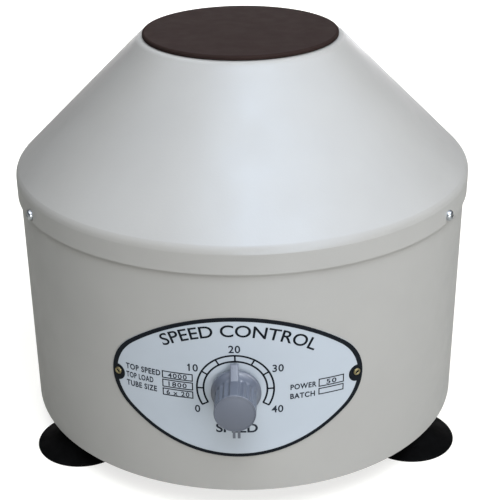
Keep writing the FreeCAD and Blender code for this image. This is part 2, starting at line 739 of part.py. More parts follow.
def field_stack():
    """Laminated yoke with two pole shoes around the armature."""
    yoke = ring(CAN_R - CAN_WALL - 0.05, 33.0, STACK_LOW, STACK_TOP)
    shoe = ring(28.0, ARMATURE_R + 0.5, STACK_LOW, STACK_TOP)
    shoe = shoe.common(block(8, 40, -20, 20, STACK_LOW, STACK_TOP))
    neck = block(27, 34, -9, 9, STACK_LOW, STACK_TOP)
    pole = shoe.fuse(neck)
    return yoke.fuse(around(pole, (0, 180))).removeSplitter()


def field_windings():
    coil = ring(32.8, 28.3, STACK_LOW - 6, STACK_TOP + 6)
    coil = coil.common(block(5, 40, -17, 17, 0, 120))
    coil = coil.cut(block(20, 40, -9.4, 9.4, STACK_LOW - 0.5, STACK_TOP + 0.5))
    return around(coil, (0, 180))


def brush_holders():
    holder = block(-5, 5, -36, -14, CAN_LOW, BRUSH_Z + 5)
    return around(holder.cut(block(-3.1, 3.1, -34, -10, BRUSH_Z - 3.1, BRUSH_Z + 3.1)), (0, 180))


def carbon_brushes():
    brush = block(-3, 3, -26, -COMMUTATOR_R - 0.3, BRUSH_Z - 3, BRUSH_Z + 3)
    return around(brush, (0, 180))


def brush_springs():
    """Coil springs that press the brushes on the commutator."""
    wire_r = 0.35
    helix = Part.makeHelix(1.3, 7.0, 2.0)
    start = Part.Wire(Part.makeCircle(wire_r, vec(2.0, 0, 0), vec(0, 1, 0)))
    spring = Part.Wire(helix.Edges).makePipeShell([start], True, True)
    spring = placed(spring, vec(0, -33.5, BRUSH_Z), vec(0, 1, 0))
    return around(spring, (0, 180))


# ---- motor, turning side -----------------------------------------------
def motor_shaft():
    return lathe([(0, SHAFT_LOW), (SHAFT_R, SHAFT_LOW, 0.6), (SHAFT_R, HUB_TOP + 0.5),
                  (3.0, HUB_TOP + 0.5), (3.0, SHAFT_TOP, 0.6), (0, SHAFT_TOP)])


def armature_core():
    """Slotted lamination stack on the shaft."""
    core = ring(ARMATURE_R, SHAFT_R + PRESS_GAP, STACK_LOW, STACK_TOP)
    neck = block(-0.9, 0.9, -ARMATURE_R - 1, -ARMATURE_R + 3, 0, 120)
    pocket = disc(2.4, 0, 120, 0, -ARMATURE_R + 5)
    return core.cut(around(neck.fuse(pocket), every(12)))


def armature_windings():
    """End turns of the armature coils above and below the stack."""
    under = STACK_LOW - 0.2
    over = STACK_TOP + 0.2
    low = lathe([(9, under - 5.0, 1.5), (20, under - 4.2, 2.0), (20, under), (9, under)])
    high = lathe([(9, over), (20, over), (20, over + 4.6, 2.0), (9, over + 5.4, 1.5)])
    return [low, high]


def commutator():
    copper = ring(COMMUTATOR_R, SHAFT_R + PRESS_GAP, COMMUTATOR_Z, COMMUTATOR_Z + 8)
    cut = block(-0.25, 0.25, -COMMUTATOR_R - 1, -COMMUTATOR_R + 1.5, 0, 60)
    return copper.cut(around(cut, every(16)))


def cooling_fan():
    low = STACK_TOP + 7.0
    bore = SHAFT_R + PRESS_GAP
    fan = ring(9.0, bore, low, low + 6).fuse(ring(FAN_R, bore, low, low + 1.2))
    blade = block(-0.6, 0.6, 1 - FAN_R, -8, low, low + 6)
    return fan.fuse(around(blade, every(9))).removeSplitter()


# ---- rotor -------------------------------------------------------------
TILT = math.radians(TUBE_TILT)
DOWN_TUBE = vec(0, -math.sin(TILT), -math.cos(TILT))
MOUTH = vec(0, -MOUTH_R, MOUTH_Z)


def along_tube(shape):
    """Lay a shape's +Z down the tube axis, with z=0 at the seat face."""
    return placed(shape, MOUTH, DOWN_TUBE)


def seat_azimuths():
    return every(SEATS, 0)


def rotor_head():
    """Cast angle head: hub and dish, with six stepped seats for the sleeves."""
    out_r, out_z = math.cos(TILT), math.sin(TILT)
    down_r, down_z = math.sin(TILT), -math.cos(TILT)

    def point(across, down, fillet=0):
        radius = MOUTH_R + across * out_r + down * down_r
        height = MOUTH_Z + across * out_z + down * down_z
        return (radius, height, fillet) if fillet else (radius, height)

    inner_top = point(-HEAD_HALF, 0, 3.0)
    under = -HEAD_HALF - 2.0
    profile = [(SHAFT_R + 0.03, HUB_LOW),
               (HUB_R, HUB_LOW, 1.0),
               (HUB_R, point(under, HEAD_THICK)[1] - 6, 6.0),
               point(under, HEAD_THICK, 6.0),
               point(HEAD_HALF, HEAD_THICK, 3.0),
               point(HEAD_HALF, 0, 3.0),
               inner_top,
               (HUB_R, inner_top[1], 3.0),
               (HUB_R, HUB_TOP, 1.0),
               (SHAFT_R + 0.03, HUB_TOP)]
    head = lathe(profile)
    seat = disc(SLEEVE_R + 0.1, -30, 60).fuse(disc(SLEEVE_FLANGE_R + 0.5, -30, 0))
    return head.cut(around(along_tube(seat), seat_azimuths()))


def rotor_nut():
    """Knurled nut that holds the head down on the shaft."""
    low = HUB_TOP + 0.6
    high = HUB_TOP + 6.5
    nut = lathe([(3.05, low), (9.5, low, 0.6), (9.5, high, 1.0), (3.05, high)])
    groove = disc(0.7, HUB_TOP, HUB_TOP + 10, 0, -9.9)
    return nut.cut(around(groove, every(20)))


def tube_sleeve():
    """Flanged metal sleeve for one 20 ml tube, with a stepped closed bottom."""
    step_r = SLEEVE_BORE - 1.2
    floor_low = SLEEVE_DEPTH + 3.4
    return lathe([(SLEEVE_BORE, -SLEEVE_FLANGE), (SLEEVE_FLANGE_R, -SLEEVE_FLANGE, 0.3),
                  (SLEEVE_FLANGE_R, 0, 0.3), (SLEEVE_R, 0), (SLEEVE_R, floor_low - 3.0, 2.0),
                  (step_r + 0.4, floor_low + 1.2, 1.0), (0, floor_low + 1.2), (0, floor_low),
                  (step_r, floor_low), (step_r, SLEEVE_DEPTH), (SLEEVE_BORE, SLEEVE_DEPTH)])


def sleeve_cushions():
    pad = along_tube(disc(SLEEVE_BORE - 1.3, SLEEVE_DEPTH + 0.3, SLEEVE_DEPTH + 3.3))
    return around(pad, seat_azimuths())


# ---- lid ---------------------------------------------------------------
def lid():
    """Flat moulded disc with a locating ring that drops into the mouth."""
    plug_low = LID_LOW - LID_PLUG_DEPTH
    plug_in = LID_PLUG_R - 3.0
    return lathe([(0, LID_LOW), (plug_in, LID_LOW), (plug_in, plug_low, 0.5),
                  (LID_PLUG_R, plug_low, 0.8), (LID_PLUG_R, LID_LOW), (LID_R, LID_LOW, 0.4),
                  (LID_R, LID_TOP, 1.0), (0, LID_TOP)])


def lid_seal():
    """Rubber band round the locating ring, under the lid's rim."""
    return ring(OPENING_R - 0.3, LID_PLUG_R + 0.05, LID_LOW - 2.4, LID_LOW - 0.05)


# ---- write every node --------------------------------------------------
def main():
    os.makedirs("parts", exist_ok=True)
    save("drum_shell", drum_shell())
    save("cone_cover", cone_cover())
    save("cover_fasteners", cover_screws() + cover_nuts())
    save("base_plate", base_plate())
    save("rim_fasteners", rim_screws() + rim_nuts())
    for node, azimuth in zip(("foot_front_left", "foot_front_right", "foot_rear"), FOOT_AZ):
        save(node, suction_foot(azimuth))
    save("foot_fasteners", foot_studs() + foot_nuts())
    save("label_plate", label_plate())
    save("plate_screws", plate_screws())
    save("pot_body", pot_body())
    save("pot_nut", [pot_nut(), pot_washer()])
    save("pot_shaft", pot_shaft())
    save("knob", knob())
    save("knob_collet", knob_collet())
    save("knob_cap", knob_cap())
    save("cable_gland", [cable_gland(), gland_nut()])
    save("gland_cap", gland_cap())
    save("gland_seal", gland_seal())
    save("fuse_holder", [fuse_holder(), fuse_nut()])
    save("fuse_cap", fuse_cap())
    save("fuse", fuse())
    save("control_board", control_board())
    save("board_fasteners", board_standoffs() + board_screws())
    save("heatsink", heatsink())
    save("capacitor", capacitor())
    save("choke", choke())
    save("terminal_block", terminal_block())
    save("internal_leads", internal_leads())
    save("chamber_floor", chamber_floor())
    save("floor_brackets", floor_brackets())
    save("floor_fasteners", floor_screws() + floor_nuts())
    save("motor_plate", motor_plate())
    save("motor_dampers", motor_dampers())
    save("damper_fasteners", damper_bolts() + damper_nuts())
    save("motor_housing", motor_housing())
    save("motor_end_lower", motor_end_lower())
    save("motor_end_upper", motor_end_upper())
    save("bearing_lower", bearing(LOWER_BEARING_Z))
    save("bearing_upper", bearing(UPPER_BEARING_Z))
    save("motor_fasteners", motor_bolts() + motor_nuts())
    save("field_stack", field_stack())
    save("field_windings", field_windings())
    save("brush_gear", brush_holders() + carbon_brushes() + brush_springs())
    save("motor_shaft", motor_shaft())
    save("armature", [armature_core()] + armature_windings())
    save("commutator", commutator())
    save("cooling_fan", cooling_fan())
    save("rotor_head", rotor_head())
    save("rotor_nut", rotor_nut())
    sleeve = along_tube(tube_sleeve())
    for number, azimuth in enumerate(seat_azimuths(), 1):
        save("tube_sleeve_%d" % number, turned(sleeve, azimuth))
    save("sleeve_cushions", sleeve_cushions())
    save("lid", lid())
    save("lid_seal", lid_seal())


main()
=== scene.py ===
import bpy
import bmesh
import json
import math
from mathutils import Matrix, Vector


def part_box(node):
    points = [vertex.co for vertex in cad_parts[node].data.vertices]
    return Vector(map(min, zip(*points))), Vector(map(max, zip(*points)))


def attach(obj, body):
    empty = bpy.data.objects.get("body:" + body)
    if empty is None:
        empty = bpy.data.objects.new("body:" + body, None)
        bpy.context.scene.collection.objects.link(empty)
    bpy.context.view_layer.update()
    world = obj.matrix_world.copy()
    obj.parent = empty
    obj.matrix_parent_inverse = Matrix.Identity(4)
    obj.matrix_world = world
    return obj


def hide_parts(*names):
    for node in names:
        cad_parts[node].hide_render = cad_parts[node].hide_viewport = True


# Looks of the bench centrifuge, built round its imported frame.
# Metres in the scene; the pieces are drawn in millimetres and scaled by MM.
# +Z is up and the control panel faces -Y.
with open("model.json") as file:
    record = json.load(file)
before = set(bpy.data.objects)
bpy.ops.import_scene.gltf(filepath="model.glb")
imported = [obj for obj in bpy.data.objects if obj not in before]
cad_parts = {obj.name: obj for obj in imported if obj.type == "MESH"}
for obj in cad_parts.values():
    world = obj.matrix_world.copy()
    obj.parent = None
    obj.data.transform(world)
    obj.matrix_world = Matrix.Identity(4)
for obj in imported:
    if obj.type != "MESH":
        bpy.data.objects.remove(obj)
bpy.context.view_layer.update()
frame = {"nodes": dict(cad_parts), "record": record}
NODES = frame["nodes"]
MM = 0.001

# ---- places read from the frame ----------------------------------------
PANEL_R = -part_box("label_plate")[0].y / MM
DIAL_Z = (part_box("knob_cap")[0].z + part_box("knob_cap")[1].z) / 2 / MM
KNOB_BACK = -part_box("knob")[1].y / MM
KNOB_FRONT = -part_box("knob")[0].y / MM


# ---- camera, floor and light -------------------------------------------
# The camera's distance and height in metres, its lens in millimetres, and its
# angles in degrees: round the object, off its axis, downwards and rolled.
CAMERA_AWAY, CAMERA_HIGH = 0.6336, 0.4012
CAMERA_LENS = 82.3
CAMERA_ASIDE, CAMERA_PAN, CAMERA_DOWN, CAMERA_ROLL = 1.9, 0.25, 25.59, -0.8


def add_camera():
    """A long lens a little above the object, looking down at the panel."""
    aside = math.radians(CAMERA_ASIDE)
    data = bpy.data.cameras.new("camera")
    data.sensor_width = 36.0
    data.lens = CAMERA_LENS
    data.clip_start = 0.02
    camera = bpy.data.objects.new("camera", data)
    bpy.context.scene.collection.objects.link(camera)
    camera.location = (CAMERA_AWAY * math.sin(aside), -CAMERA_AWAY * math.cos(aside), CAMERA_HIGH)
    pan = Matrix.Rotation(aside + math.radians(CAMERA_PAN), 3, "Z")
    pitch = Matrix.Rotation(math.radians(90 - CAMERA_DOWN), 3, "X")
    roll = Matrix.Rotation(math.radians(CAMERA_ROLL), 3, "Z")
    camera.rotation_euler = (pan @ pitch @ roll).to_euler()
    bpy.context.scene.camera = camera


def add_area(name, place, target, size, power, colour):
    """Rectangular soft light, unseen by the camera, facing a target."""
    data = bpy.data.lights.new(name, "AREA")
    data.shape = "RECTANGLE"
    data.size, data.size_y = size
    data.energy = power
    data.color = colour
    light = bpy.data.objects.new(name, data)
    bpy.context.scene.collection.objects.link(light)
    light.location = place
    light.visible_camera = False
    facing = Vector(target) - Vector(place)
    light.rotation_euler = facing.to_track_quat("-Z", "Y").to_euler()


FLOOR_HALF = 12.0
FLOOR_COLOUR = (0.41, 0.395, 0.352)
# Distances from the object over which the floor's own glow grows, and how far.
GLOW_START, GLOW_END = 0.2, 0.9
GLOW_LOW, GLOW_HIGH = 0.7, 1.05


def add_floor():
    """White sweep: softly shadowed by the object, and shown evenly bright far out."""
    half = FLOOR_HALF
    mesh = bpy.data.meshes.new("floor")
    mesh.from_pydata([(-half, -half, 0), (half, -half, 0), (half, half, 0), (-half, half, 0)],
                     [], [(0, 1, 2, 3)])
    floor = bpy.data.objects.new("floor", mesh)
    bpy.context.scene.collection.objects.link(floor)
    material, tree, shader = start_material("floor_paper", FLOOR_COLOUR, 0.95,
                                            Specular_IOR_Level=0.0)
    shader.inputs["Emission Color"].default_value = (1, 1, 1, 1)
    place = tree.nodes.new("ShaderNodeTexCoord")
    length = tree.nodes.new("ShaderNodeVectorMath")
    length.operation = "LENGTH"
    tree.links.new(place.outputs["Object"], length.inputs[0])
    glow = spread(tree, length.outputs["Value"], GLOW_LOW, GLOW_HIGH, GLOW_START, GLOW_END)
    seen = tree.nodes.new("ShaderNodeLightPath")
    lit = tree.nodes.new("ShaderNodeMath")
    lit.operation = "MULTIPLY"
    tree.links.new(glow, lit.inputs[0])
    tree.links.new(seen.outputs["Is Camera Ray"], lit.inputs[1])
    tree.links.new(lit.outputs["Value"], shader.inputs["Emission Strength"])
    mesh.materials.append(material)


def add_world():
    """Dim even fill for the object, with a white backdrop behind it."""
    world = bpy.data.worlds.new("studio")
    world.use_nodes = True
    tree = world.node_tree
    fill = tree.nodes["Background"]
    fill.inputs["Color"].default_value = (*FILL_COLOUR, 1)
    fill.inputs["Strength"].default_value = FILL
    backdrop = tree.nodes.new("ShaderNodeBackground")
    backdrop.inputs["Color"].default_value = (1, 1, 1, 1)
    seen = tree.nodes.new("ShaderNodeLightPath")
    choose = tree.nodes.new("ShaderNodeMixShader")
    tree.links.new(seen.outputs["Is Camera Ray"], choose.inputs[0])
    tree.links.new(fill.outputs["Background"], choose.inputs[1])
    tree.links.new(backdrop.outputs["Background"], choose.inputs[2])
    tree.links.new(choose.outputs["Shader"], tree.nodes["World Output"].inputs["Surface"])
    bpy.context.scene.world = world


FILL = 0.02
FILL_COLOUR = (0.95, 0.97, 1.0)
LIGHT_TARGET = (0, 0, 0.1)
# name, place, (width, height), watts, colour
LIGHTS = (
    ("bank", (0.42, -0.85, 1.95), (1.7, 1.4), 34.6, (0.872, 0.932, 1.0)),
    ("bank_front", (0.1, -1.1, 1.9), (1.2, 1.2), 15.6, (0.9, 0.945, 1.0)),
    ("key", (1.2, -1.6, 0.8), (0.9, 0.9), 15.9, (0.97, 0.985, 1.0)),
    ("low", (0.5, -2.0, 0.3), (1.6, 0.5), 13.9, (1.0, 0.995, 0.965)),
    ("left_top", (-1.2, -0.2, 1.8), (1.3, 1.3), 6.9, (0.9, 0.94, 1.0)),
    ("right_top", (1.3, 0.1, 1.6), (1.3, 1.3), 11.0, (0.85, 0.91, 1.0)),
    ("back", (-0.3, 1.3, 2.2), (1.6, 1.2), 19.6, (0.98, 0.99, 1.0)),
    ("horizon", (0.0, 2.0, 0.39), (2.4, 0.78), 1.9, (1.0, 0.72, 0.68)),
    ("back_low", (0.0, 1.9, 0.2), (1.6, 0.36), 8.0, (0.98, 0.99, 1.0)),
)


def add_studio():
    bpy.context.scene.view_settings.view_transform = "Standard"
    add_world()
    add_floor()
    for name, place, size, power, colour in LIGHTS:
        add_area(name, place, LIGHT_TARGET, size, power, colour)


# ---- node helpers ------------------------------------------------------
def start_material(name, colour, rough, metal=0.0, **sockets):
    """Material with its shader's constants set; returns it with its tree and shader."""
    material = bpy.data.materials.new(name)
    material.use_nodes = True
    tree = material.node_tree
    shader = next(node for node in tree.nodes if node.type == "BSDF_PRINCIPLED")
    shader.inputs["Base Color"].default_value = (*colour, 1)
    shader.inputs["Roughness"].default_value = rough
    shader.inputs["Metallic"].default_value = metal
    for socket, value in sockets.items():
        shader.inputs[socket.replace("_", " ")].default_value = value
    return material, tree, shader


def object_place(tree, stretch=(1, 1, 1)):
    """Object coordinates, in metres, scaled along each axis."""
    place = tree.nodes.new("ShaderNodeTexCoord")
    mapping = tree.nodes.new("ShaderNodeMapping")
    mapping.inputs["Scale"].default_value = stretch
    tree.links.new(place.outputs["Object"], mapping.inputs["Vector"])
    return mapping.outputs["Vector"]


def noise(tree, scale, detail=2.0, roughness=0.5, stretch=(1, 1, 1)):
    """Soft random pattern from 0 to 1, fixed to the object."""
    node = tree.nodes.new("ShaderNodeTexNoise")
    node.inputs["Scale"].default_value = scale
    node.inputs["Detail"].default_value = detail
    node.inputs["Roughness"].default_value = roughness
    tree.links.new(object_place(tree, stretch), node.inputs["Vector"])
    return node.outputs["Fac"]


def spread(tree, value, low, high, from_low=0.3, from_high=0.7):
    """Map a value's range to another, by default the busy middle of a noise pattern."""
    node = tree.nodes.new("ShaderNodeMapRange")
    node.inputs["From Min"].default_value = from_low
    node.inputs["From Max"].default_value = from_high
    node.inputs["To Min"].default_value = low
    node.inputs["To Max"].default_value = high
    tree.links.new(value, node.inputs["Value"])
    return node.outputs["Result"]


def tint(tree, shader, value, dark, light):
    """Drive the base colour between two tones by a 0-1 pattern."""
    mix = tree.nodes.new("ShaderNodeMix")
    mix.data_type = "RGBA"
    mix.inputs["A"].default_value = (*dark, 1)
    mix.inputs["B"].default_value = (*light, 1)
    tree.links.new(value, mix.inputs["Factor"])
    tree.links.new(mix.outputs["Result"], shader.inputs["Base Color"])


def bump(tree, shader, layers):
    """Stack bump layers of (pattern, strength, depth in metres) on a shader."""
    below = None
    for pattern, strength, depth in layers:
        node = tree.nodes.new("ShaderNodeBump")
        node.inputs["Strength"].default_value = strength
        node.inputs["Distance"].default_value = depth
        tree.links.new(pattern, node.inputs["Height"])
        if below is not None:
            tree.links.new(below, node.inputs["Normal"])
        below = node.outputs["Normal"]
    tree.links.new(below, shader.inputs["Normal"])


def shade(colour, factor):
    """A colour made darker or lighter."""
    return tuple(min(1.0, channel * factor) for channel in colour)


# ---- materials ---------------------------------------------------------
def paint(name, colour, rough=0.4, peel=0.5, **sockets):
    """Stoved sheet-metal paint: fine orange-peel, faint mottling and handling haze."""
    material, tree, shader = start_material(name, colour, rough, **sockets)
    mottle = spread(tree, noise(tree, 22, 4), 0, 1)
    tint(tree, shader, mottle, shade(colour, 0.97), shade(colour, 1.025))
    haze = spread(tree, noise(tree, 55, 5, 0.6), rough - 0.05, rough + 0.07)
    tree.links.new(haze, shader.inputs["Roughness"])
    bump(tree, shader, [(noise(tree, 14, 1), 0.3, 0.0006), (noise(tree, 850, 2), peel, 0.00006)])
    return material


def moulded(name, colour, rough=0.5, grain=0.4, scale=1800, drift=0.06, **sockets):
    """Moulded plastic: fine spark texture, slight tone drift and rubbed patches."""
    material, tree, shader = start_material(name, colour, rough, **sockets)
    tones = spread(tree, noise(tree, 60, 4), 0, 1)
    tint(tree, shader, tones, shade(colour, 1 - drift), shade(colour, 1 + drift))
    rubbed = spread(tree, noise(tree, 130, 4), rough - 0.07, rough + 0.09)
    tree.links.new(rubbed, shader.inputs["Roughness"])
    bump(tree, shader, [(noise(tree, scale, 3), grain, 0.00004)])
    return material


def printing_ink(name, colour, gloss):
    """Screen-printing ink: even and dull, with a fine grain."""
    return moulded(name, colour, 0.5, grain=0.2, scale=1500, drift=0.1, Specular_IOR_Level=gloss)


# Radii in metres between which the lid's rounded rim grows duller, and by how much.
LID_RIM_START, LID_RIM_END = 0.0538, 0.0546
LID_RIM_DULL = 0.35


def lid_plastic(name, colour, rough=0.52):
    """Satin moulding: a soft sheen on top, dulled by handling at its rim."""
    material, tree, shader = start_material(name, colour, rough, Specular_IOR_Level=0.04)
    tones = spread(tree, noise(tree, 60, 4), 0, 1)
    tint(tree, shader, tones, shade(colour, 0.94), shade(colour, 1.06))
    radius = tree.nodes.new("ShaderNodeVectorMath")
    radius.operation = "LENGTH"
    tree.links.new(object_place(tree, (1, 1, 0)), radius.inputs[0])
    rim = spread(tree, radius.outputs["Value"], 0.0, LID_RIM_DULL, LID_RIM_START, LID_RIM_END)
    haze = spread(tree, noise(tree, 130, 4), rough - 0.04, rough + 0.04)
    both = tree.nodes.new("ShaderNodeMath")
    tree.links.new(rim, both.inputs[0])
    tree.links.new(haze, both.inputs[1])
    tree.links.new(both.outputs["Value"], shader.inputs["Roughness"])
    bump(tree, shader, [(noise(tree, 1300, 3), 0.08, 0.00004)])
    return material


def rubber(name, colour, rough=0.6):
    """Black rubber: slight bloom, soft mould texture and dust on the surface."""
    material, tree, shader = start_material(name, colour, rough, Specular_IOR_Level=0.03)
    dust = spread(tree, noise(tree, 90, 6, 0.65), 0, 1, 0.42, 0.8)
    tint(tree, shader, dust, colour, shade(colour, 2.4))
    bloom = spread(tree, noise(tree, 150, 3), rough - 0.1, rough + 0.12)
    tree.links.new(bloom, shader.inputs["Roughness"])
    bump(tree, shader, [(noise(tree, 700, 3), 0.4, 0.00005)])
    return material


def metal(name, colour, rough=0.3, brushed=(1, 1, 1), scale=600, wear=0.1, depth=0.00002):
    """Bare or plated metal: tooling lines along one axis, dull patches, fine pits."""
    material, tree, shader = start_material(name, colour, rough, 1.0)
    patches = spread(tree, noise(tree, 120, 4), 0, 1)
    tint(tree, shader, patches, shade(colour, 1 - wear), shade(colour, 1 + wear * 0.4))
    lines = noise(tree, scale, 3, 0.6, brushed)
    tree.links.new(spread(tree, lines, rough - 0.08, rough + 0.12), shader.inputs["Roughness"])
    bump(tree, shader, [(lines, 0.5, depth)])
    return material


def clear_glass(name):
    """Clear glass tube with the faint waves of drawn glass."""
    material, tree, shader = start_material(name, (0.92, 0.95, 0.95), 0.06,
                                            Transmission_Weight=0.9)
    bump(tree, shader, [(noise(tree, 300, 2), 0.2, 0.00003)])
    return material


def wound_wire(name):
    """Enamelled copper wire laid side by side, with varnish in between."""
    material, tree, shader = start_material(name, (0.45, 0.17, 0.06), 0.34, 0.85,
                                            Coat_Weight=0.4, Coat_Roughness=0.2)
    wave = tree.nodes.new("ShaderNodeTexWave")
    wave.bands_direction = "DIAGONAL"
    wave.inputs["Scale"].default_value = 900
    wave.inputs["Distortion"].default_value = 1.5
    tree.links.new(object_place(tree), wave.inputs["Vector"])
    tint(tree, shader, wave.outputs["Fac"], (0.2, 0.06, 0.02), (0.62, 0.26, 0.1))
    bump(tree, shader, [(wave.outputs["Fac"], 0.6, 0.0002)])
    return material


def stacked_steel(name):
    """Laminated steel: the edges of thin sheets stacked along the shaft."""
    material, tree, shader = start_material(name, (0.3, 0.3, 0.32), 0.4, 0.9)
    wave = tree.nodes.new("ShaderNodeTexWave")
    wave.bands_direction = "Z"
    wave.inputs["Scale"].default_value = 320
    tree.links.new(object_place(tree), wave.inputs["Vector"])
    tint(tree, shader, wave.outputs["Fac"], (0.1, 0.1, 0.11), (0.42, 0.42, 0.44))
    bump(tree, shader, [(wave.outputs["Fac"], 0.5, 0.00015)])
    return material


def circuit_board(name):
    """Solder resist over tracks: a lighter net of copper runs under the green."""
    material, tree, shader = start_material(name, (0.02, 0.16, 0.07), 0.28,
                                            Coat_Weight=0.5, Coat_Roughness=0.15)
    brick = tree.nodes.new("ShaderNodeTexBrick")
    brick.inputs["Scale"].default_value = 260
    brick.inputs["Mortar Size"].default_value = 0.03
    tree.links.new(object_place(tree), brick.inputs["Vector"])
    tint(tree, shader, brick.outputs["Fac"], (0.015, 0.13, 0.055), (0.05, 0.27, 0.1))
    bump(tree, shader, [(brick.outputs["Fac"], 0.4, 0.00005)])
    return material


def make_materials():
    """One finished material for every slot of the record."""
    return {
        "case_paint": paint("case_paint", (0.35, 0.34, 0.324), 0.42,
                            Specular_Tint=(0.62, 0.78, 1.0, 1), Specular_IOR_Level=0.6),
        "base_paint": paint("base_paint", (0.2, 0.2, 0.205), 0.5),
        "zinc_steel": metal("zinc_steel", (0.72, 0.73, 0.74), 0.26, scale=900),
        "black_rubber": rubber("black_rubber", (0.0016, 0.0016, 0.0017)),
        "panel_print": paint("panel_print", (0.39, 0.432, 0.487), 0.34, peel=0.15,
                             Coat_Weight=0.3, Coat_Roughness=0.3),
        "screw_brass": metal("screw_brass", (0.31, 0.265, 0.145), 0.42, scale=900),
        "knob_grey": moulded("knob_grey", (0.088, 0.101, 0.136), 0.4, grain=0.3,
                             Coat_Weight=0.9, Coat_Roughness=0.36),
        "black_plastic": moulded("black_plastic", (0.014, 0.014, 0.016), 0.42),
        "fuse_glass": clear_glass("fuse_glass"),
        "board_green": circuit_board("board_green"),
        "cast_aluminium": metal("cast_aluminium", (0.66, 0.67, 0.69), 0.4, scale=420, wear=0.12,
                                depth=0.00008),
        "capacitor_red": moulded("capacitor_red", (0.34, 0.03, 0.02), 0.25, grain=0.2, scale=500),
        "copper_wire": wound_wire("copper_wire"),
        "terminal_white": moulded("terminal_white", (0.72, 0.71, 0.66), 0.45),
        "lead_insulation": moulded("lead_insulation", (0.02, 0.05, 0.26), 0.33, grain=0.2,
                                   scale=900),
        "motor_paint": paint("motor_paint", (0.02, 0.021, 0.024), 0.34),
        "bearing_steel": metal("bearing_steel", (0.68, 0.69, 0.71), 0.17, brushed=(1, 1, 12),
                               scale=500, wear=0.06),
        "laminated_steel": stacked_steel("laminated_steel"),
        "sleeve_steel": metal("sleeve_steel", (0.7, 0.71, 0.72), 0.24, brushed=(1, 1, 8),
                              scale=350, wear=0.08),
        "lid_brown": lid_plastic("lid_brown", (0.0228, 0.0143, 0.0129)),
    }


def dress_nodes(materials):
    """Give each CAD node its slot's material; the cover's screws get a darker, bluer copy of the
    zinc: painted shade that dims their reflections.
    """
    for part in frame["record"]["subparts"]:
        mesh = NODES[part["node"]].data
        mesh.materials.clear()
        mesh.materials.append(materials[part["material_slot"]])
    # Painted shade: the cover's screws use a darker, bluer zinc than the other zinc parts.
    NODES["cover_fasteners"].data.materials[0] = metal("cover_zinc_shaded", (0.5, 0.53, 0.57), 0.3,
                                                       scale=900)


# ---- mesh helpers ------------------------------------------------------
def new_piece(name, mesh_builder, material, body, smooth=True):
    """Turn a bmesh in millimetres into a piece riding on a body."""
    bmesh.ops.remove_doubles(mesh_builder, verts=mesh_builder.verts, dist=1e-5)
    bmesh.ops.recalc_face_normals(mesh_builder, faces=mesh_builder.faces)
    bmesh.ops.scale(mesh_builder, vec=(MM, MM, MM), verts=mesh_builder.verts)
    mesh = bpy.data.meshes.new(name)
    mesh_builder.to_mesh(mesh)
    mesh_builder.free()
    mesh.materials.append(material)
    for polygon in mesh.polygons:
        polygon.use_smooth = smooth
    piece = bpy.data.objects.new(name, mesh)
    bpy.context.scene.collection.objects.link(piece)
    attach(piece, body)
    return piece


def lathe(builder, profile, segments, swell=None):
    """Turn a closed (radius, height) loop round Z; swell(radius, angle, height) may move it."""
    rings = []
    for radius, height in profile:
        ring = []
        for step in range(segments):
            angle = 2 * math.pi * step / segments
            out = swell(radius, angle, height) if swell else radius
            ring.append(builder.verts.new((out * math.cos(angle), out * math.sin(angle), height)))
        rings.append(ring)
    for index, ring in enumerate(rings):
        after = rings[(index + 1) % len(rings)]
        if profile[index][0] == 0 and profile[(index + 1) % len(rings)][0] == 0:
            continue
        for step in range(segments):
            ahead = (step + 1) % segments
            builder.faces.new((ring[step], ring[ahead], after[ahead], after[step]))


def rounded(points, steps=6):
    """Round the corners of a closed (x, y) loop whose points carry a fillet radius."""
    loop = []
    for index, (x, y, radius) in enumerate(points):
        corner = Vector((x, y))
        if not radius:
            loop.append((x, y))
            continue
        before = Vector(points[index - 1][:2])
        after = Vector(points[(index + 1) % len(points)][:2])
        back, ahead = (before - corner).normalized(), (after - corner).normalized()
        half = back.angle(ahead) / 2
        reach = radius / math.tan(half)
        centre = corner + (back + ahead).normalized() * radius / math.sin(half)
        start, end = corner + back * reach - centre, corner + ahead * reach - centre
        turn = start.angle_signed(end)
        for step in range(steps + 1):
            arm = start.copy()
            arm.rotate(Matrix.Rotation(-turn * step / steps, 2))
            loop.append(tuple(centre + arm))
    return loop


